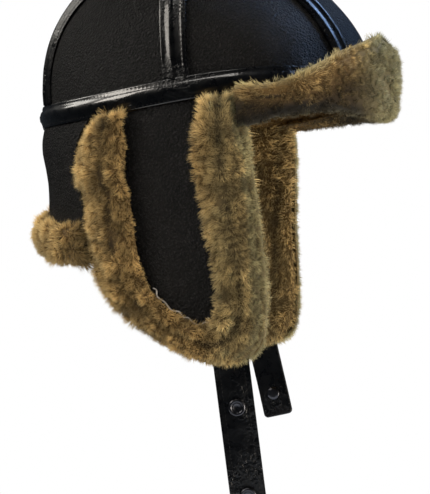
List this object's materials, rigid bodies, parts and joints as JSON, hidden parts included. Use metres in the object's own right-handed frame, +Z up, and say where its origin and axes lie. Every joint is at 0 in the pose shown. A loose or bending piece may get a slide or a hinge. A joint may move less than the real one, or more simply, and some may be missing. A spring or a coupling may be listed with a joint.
{
  "type": "shearling flying helmet",
  "caption": "Close-fitting dark leather flying helmet lined with tan shearling, with a folded-up visor, hanging ear and neck flaps with turned-out wool, and chin straps with snap fasteners.",
  "frame": {"origin": "top of the inside of the crown, at the face of the wool lining, where the wearer's head bears", "axes": "+Z up, -Y towards the front of the helmet where the visor is, +X towards the wearer's left"},
  "size_m": [0.2002, 0.2469, 0.3601],
  "materials": {
    "nappa": "matte grained near-black leather",
    "binding": "glossy black leather tape and straps",
    "shearling": "matte tan wool pile of a shearling",
    "snap": "dark gunmetal, half polished"
  },
  "bodies": {
    "root": {"crown_front_right": "nappa", "crown_front_left": "nappa", "crown_back_right": "nappa", "crown_back_left": "nappa", "crown_centre": "nappa", "crown_wool": "shearling", "seam_tape_right": "binding", "seam_tape_left": "binding", "side_tape_right": "binding", "side_tape_left": "binding", "band_tape": "binding", "ear_flap_right": "nappa", "ear_flap_left": "nappa", "ear_flap_wool_right": "shearling", "ear_flap_wool_left": "shearling", "ear_flap_trim_right": "shearling", "ear_flap_trim_left": "shearling", "neck_flap": "nappa", "neck_flap_wool": "shearling", "neck_flap_trim": "shearling", "visor_skin": "nappa", "visor_wool": "shearling", "strap_right": "binding", "strap_left": "binding", "snap_lower_right": "snap", "snap_upper_right": "snap", "snap_left": "snap"}
  },
  "joints": []
}
